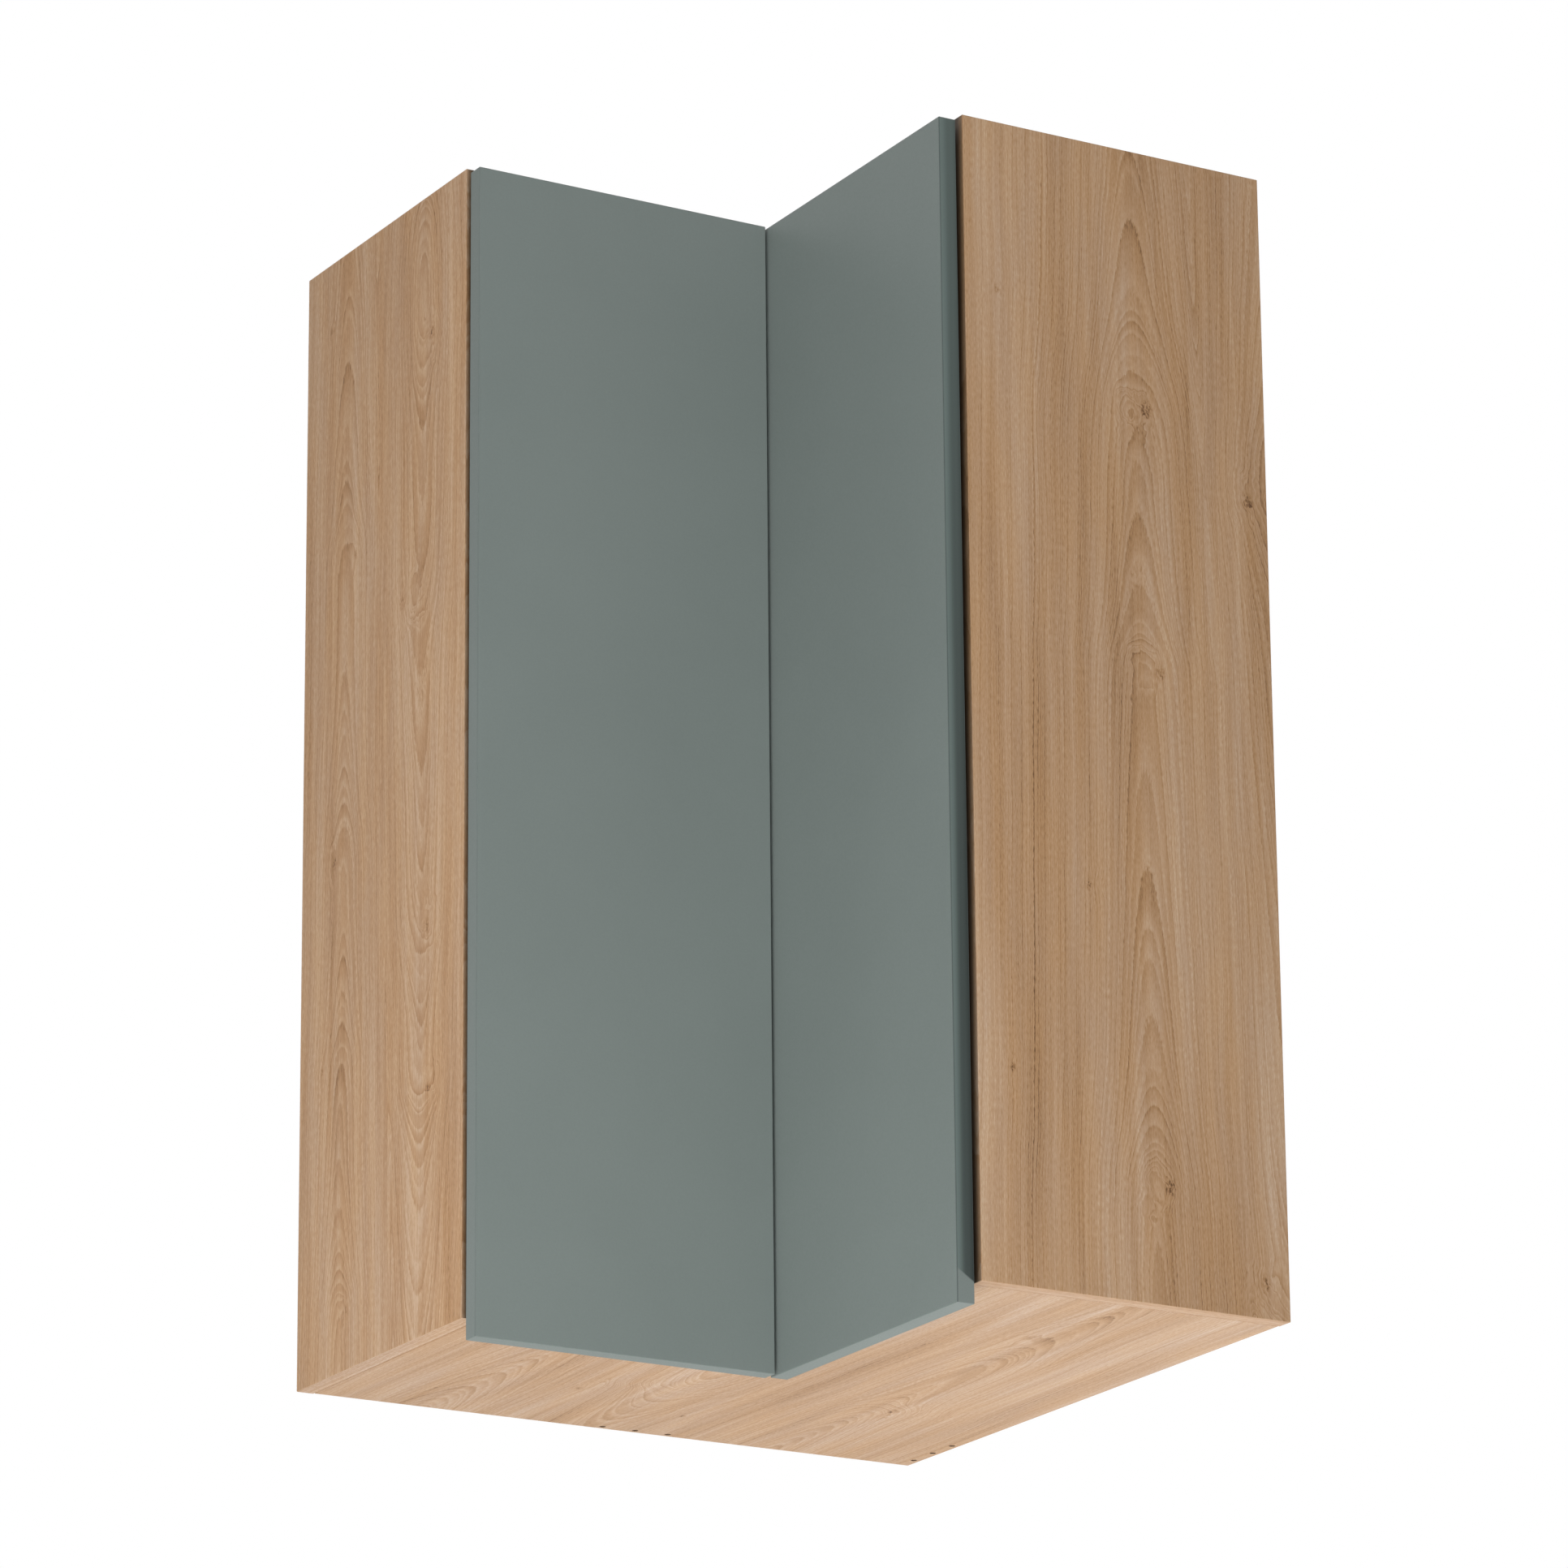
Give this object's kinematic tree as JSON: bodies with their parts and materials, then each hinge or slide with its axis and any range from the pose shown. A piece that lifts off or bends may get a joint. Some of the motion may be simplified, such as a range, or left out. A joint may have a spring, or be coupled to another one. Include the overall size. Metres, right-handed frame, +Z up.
{
  "type": "corner wall cabinet",
  "caption": "L-shaped corner wall cabinet in oak laminate with plain grey-green bifold doors that fold away together, adjustable shelves and concealed hinges.",
  "frame": {"origin": "wall face of the rear stile that stands against the back wall, at the middle of its width and half way up the carcass", "axes": "+Z up, +X along the back wall away from the room corner, +Y into the back wall; the left wall runs along -Y"},
  "size_m": [0.6, 0.6, 1.02],
  "materials": {
    "oak_laminate": "oak decor laminate on particle board, matt",
    "hardboard": "thin fibreboard with oak print",
    "door_lacquer": "matt grey-green lacquer on fibreboard",
    "nickel_steel": "nickel plated",
    "zinc_steel": "zinc plated",
    "blackened_steel": "blackened screw",
    "white_plastic": "moulded",
    "clear_rubber": "soft bumper"
  },
  "bodies": {
    "carcass": {"back_panel_back_wall": "hardboard", "back_panel_left_wall": "hardboard", "bottom_panel": "oak_laminate", "bumper_corner_high": "clear_rubber", "bumper_corner_low": "clear_rubber", "bumper_side_high": "clear_rubber", "bumper_side_low": "clear_rubber", "hanger_hook_left": "zinc_steel", "hanger_hook_right": "zinc_steel", "hanger_housing_left": "white_plastic", "hanger_housing_right": "white_plastic", "hinge_arm_1": "nickel_steel", "hinge_arm_2": "nickel_steel", "hinge_arm_3": "nickel_steel", "hinge_plate_1": "nickel_steel", "hinge_plate_2": "nickel_steel", "hinge_plate_3": "nickel_steel", "left_side_panel": "oak_laminate", "lower_shelf": "oak_laminate", "rear_stile_back_wall": "oak_laminate", "rear_stile_left_wall": "oak_laminate", "right_side_panel": "oak_laminate", "shelf_pin_lower_back_wall": "nickel_steel", "shelf_pin_lower_left_front": "nickel_steel", "shelf_pin_lower_left_rear": "nickel_steel", "shelf_pin_lower_left_wall": "nickel_steel", "shelf_pin_lower_right_front": "nickel_steel", "shelf_pin_lower_right_rear": "nickel_steel", "shelf_pin_upper_back_wall": "nickel_steel", "shelf_pin_upper_left_front": "nickel_steel", "shelf_pin_upper_left_rear": "nickel_steel", "shelf_pin_upper_left_wall": "nickel_steel", "shelf_pin_upper_right_front": "nickel_steel", "shelf_pin_upper_right_rear": "nickel_steel", "stile_screw_back_1": "blackened_steel", "stile_screw_back_2": "blackened_steel", "stile_screw_back_3": "blackened_steel", "stile_screw_left_1": "blackened_steel", "stile_screw_left_2": "blackened_steel", "stile_screw_left_3": "blackened_steel", "top_panel": "oak_laminate", "upper_shelf": "oak_laminate"},
    "hinged_leaf": {"fold_leaf_left_1": "nickel_steel", "fold_leaf_left_2": "nickel_steel", "fold_leaf_left_3": "nickel_steel", "fold_pin_1": "nickel_steel", "fold_pin_2": "nickel_steel", "fold_pin_3": "nickel_steel", "hinge_cup_1": "nickel_steel", "hinge_cup_2": "nickel_steel", "hinge_cup_3": "nickel_steel", "hinge_pin_1": "nickel_steel", "hinge_pin_2": "nickel_steel", "hinge_pin_3": "nickel_steel", "left_door": "door_lacquer"},
    "folding_leaf": {"fold_leaf_right_1": "nickel_steel", "fold_leaf_right_2": "nickel_steel", "fold_leaf_right_3": "nickel_steel", "right_door": "door_lacquer"}
  },
  "joints": [
    {"name": "door_swing", "type": "hinge", "parent": "carcass", "child": "hinged_leaf", "pos_m": [0.254, -0.5907, 0], "axis": [0, 0, -1], "range_deg": [0, 110]},
    {"name": "door_fold", "type": "hinge", "parent": "hinged_leaf", "child": "folding_leaf", "pos_m": [0.2442, -0.2982, 0], "axis": [0, 0, 1], "range_deg": [0, 60]}
  ],
  "couplings": [
    {"joint": "door_fold", "follows": "door_swing", "ratio": 0.5454}
  ]
}
